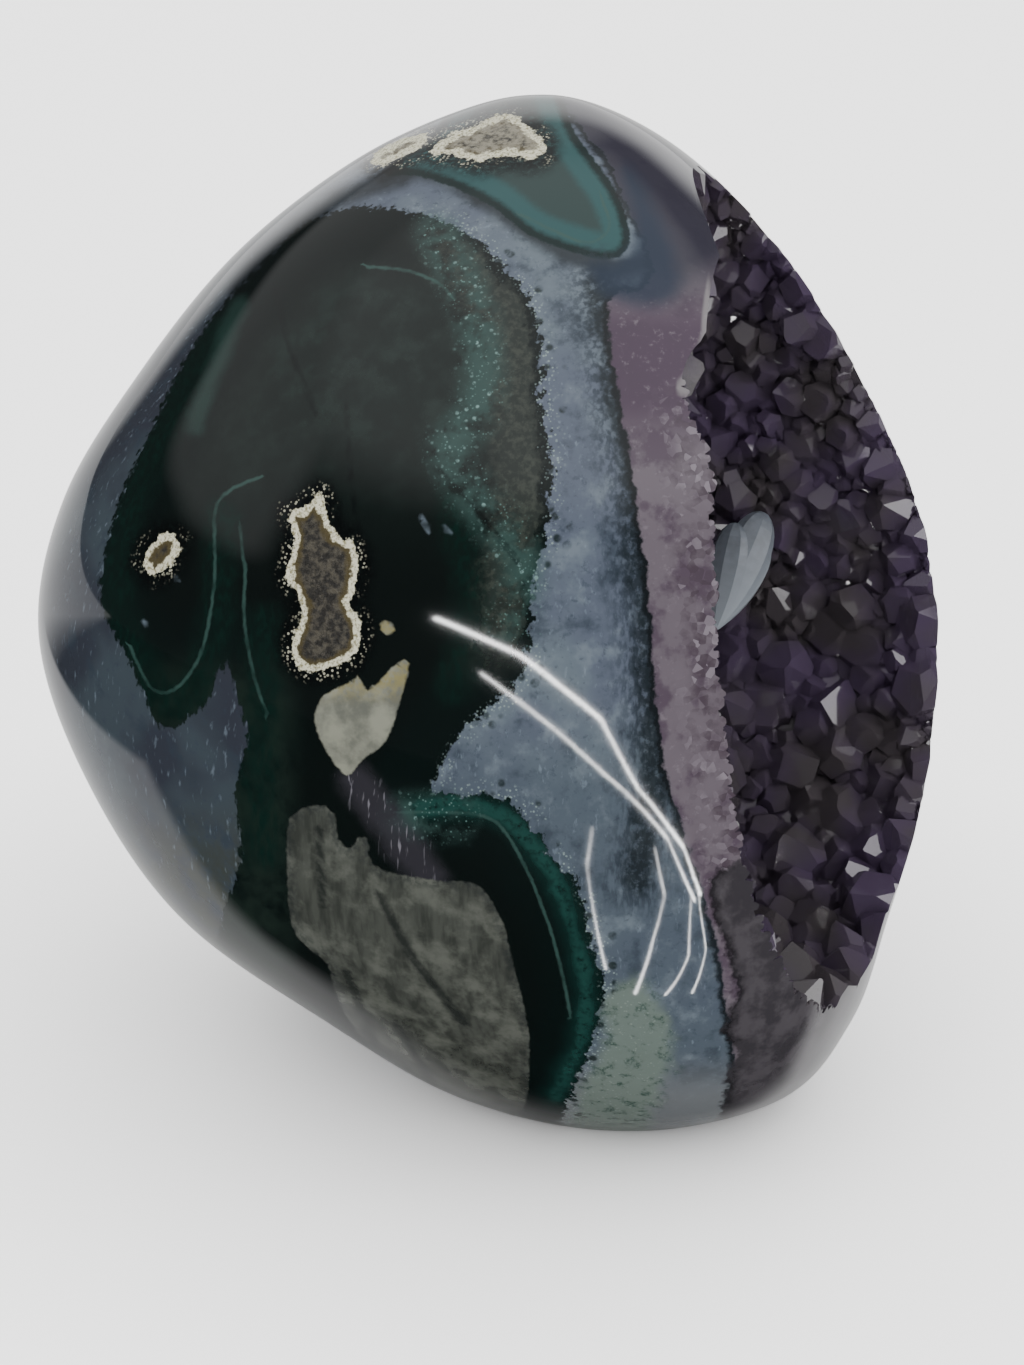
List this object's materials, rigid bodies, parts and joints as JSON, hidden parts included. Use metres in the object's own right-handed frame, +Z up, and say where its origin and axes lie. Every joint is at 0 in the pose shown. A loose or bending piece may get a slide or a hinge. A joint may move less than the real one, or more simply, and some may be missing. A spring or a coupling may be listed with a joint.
{
  "type": "amethyst geode",
  "caption": "Freeform polished agate geode standing on a small flat foot, open at its right side, the hollow lined with a crust of pointed amethyst crystals and a pale calcite blade",
  "frame": {"origin": "middle of the standing stone's outline seen from above, on the surface that it stands on", "axes": "+Z up, +X to the picture's right, +Y away from the picture's camera; the stone's long axis leans 26 degrees back, towards +Y"},
  "size_m": [0.1127, 0.1015, 0.118],
  "materials": {
    "agate": "polished chalcedony, blue grey with dark green moss bands, cream rimmed host rock spots and pale calcite inclusions",
    "amethyst": "natural amethyst crystal faces, glassy and violet, with a polished mauve quartz rim flush with the agate"
  },
  "bodies": {
    "root": {"agate_shell": "agate", "amethyst_crust": "amethyst"}
  },
  "joints": []
}
